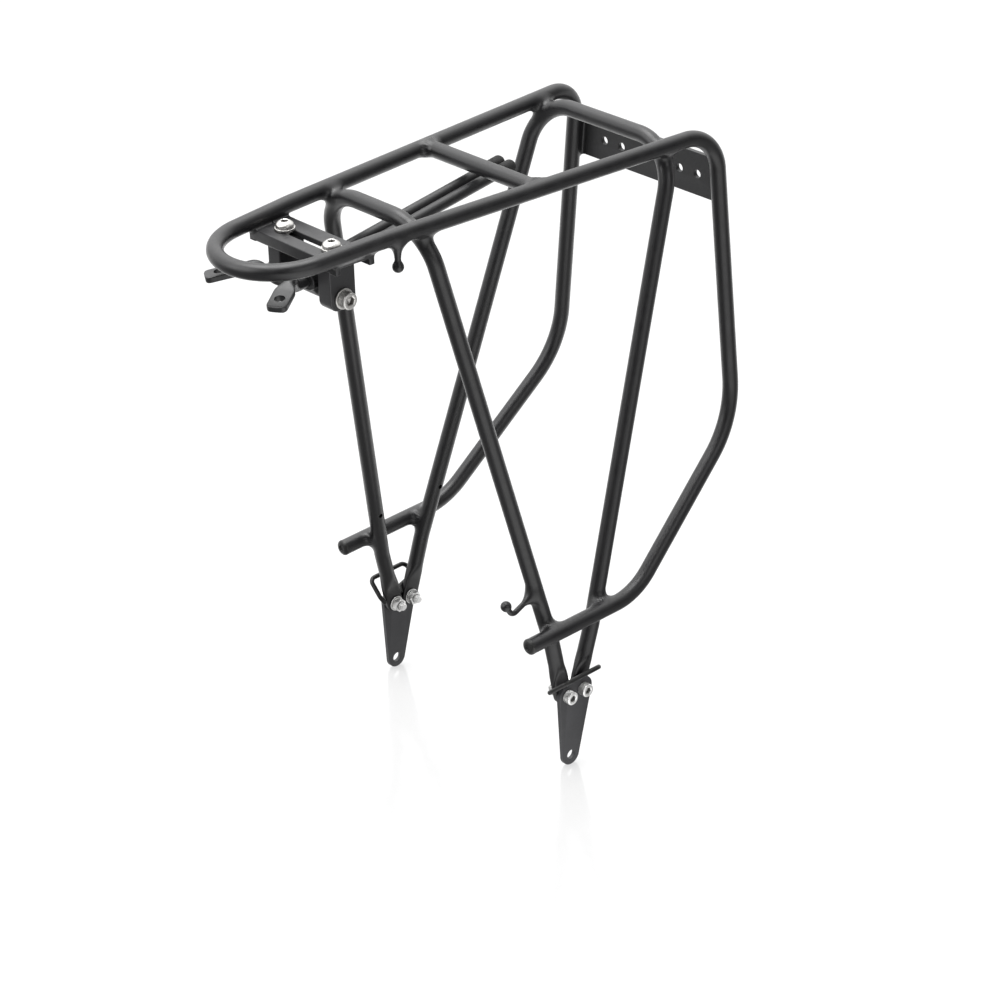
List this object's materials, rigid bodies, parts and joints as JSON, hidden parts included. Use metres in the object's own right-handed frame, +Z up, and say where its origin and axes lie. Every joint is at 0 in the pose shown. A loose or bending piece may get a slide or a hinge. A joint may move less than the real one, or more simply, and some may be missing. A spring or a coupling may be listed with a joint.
{
  "type": "bicycle rear rack",
  "caption": "Tubular rear rack with bolted foot plates, strap loops, a pump peg and hook, a light plate and an adjustable front stay clamp.",
  "frame": {"origin": "midway between the two foot holes, which bolt to the bicycle's drop-out eyelets", "axes": "+X forward towards the seat tube, +Y to the bicycle's left, +Z up; the deck is level in XY"},
  "size_m": [0.3379, 0.1852, 0.3778],
  "materials": {
    "frame_black": "satin black powder coat over aluminium tube",
    "plate_black": "satin black powder coat on flat plate",
    "wire_black": "gloss black dipped wire",
    "zinc": "bright zinc plated steel",
    "stainless": "polished stainless steel",
    "plug_black": "moulded black plastic",
    "block_black": "black anodised aluminium block",
    "clamp_black": "black anodised aluminium clamp",
    "stay_black": "satin black coated steel rod",
    "cap_rubber": "matte black rubber"
  },
  "bodies": {
    "frame": {"main_hoop": "frame_black", "front_hoop": "frame_black", "rear_hoop": "frame_black", "mid_crossbar": "frame_black", "slotted_bar": "frame_black", "light_plate": "frame_black", "pump_peg": "frame_black", "pump_hook": "frame_black", "foot_plate_left": "plate_black", "foot_plate_right": "plate_black", "strap_loop_left": "wire_black", "strap_loop_right": "wire_black", "foot_bolts_left": "zinc", "foot_bolts_right": "zinc", "foot_washers": "zinc", "foot_nuts": "zinc", "tube_plug_left": "plug_black", "tube_plug_right": "plug_black"},
    "clamp_carriage": {"clamp_block_left": "block_black", "clamp_block_right": "block_black", "block_screws": "stainless", "block_washers": "stainless", "pivot_bolt": "stainless", "pivot_washers": "stainless", "pivot_nut": "zinc"},
    "tilt_clamp": {"rod_clamp": "clamp_black"},
    "left_stay": {"stay_left": "stay_black", "stay_cap_left": "cap_rubber"},
    "right_stay": {"stay_right": "stay_black", "stay_cap_right": "cap_rubber"}
  },
  "joints": [
    {"name": "clamp_traverse", "type": "slide", "parent": "frame", "child": "clamp_carriage", "axis": [0, 1, 0], "range_m": [-0.0035, 0.0035]},
    {"name": "clamp_tilt", "type": "hinge", "parent": "clamp_carriage", "child": "tilt_clamp", "pos_m": [0.1175, 0, 0.3335], "axis": [0, 1, 0], "range_deg": [-6, 1]},
    {"name": "left_stay_slide", "type": "slide", "parent": "tilt_clamp", "child": "left_stay", "axis": [0.9932, 0.0634, -0.0976], "range_m": [-0.004, 0.1]},
    {"name": "right_stay_slide", "type": "slide", "parent": "tilt_clamp", "child": "right_stay", "axis": [0.9932, 0.0634, -0.0976], "range_m": [-0.004, 0.1]}
  ]
}
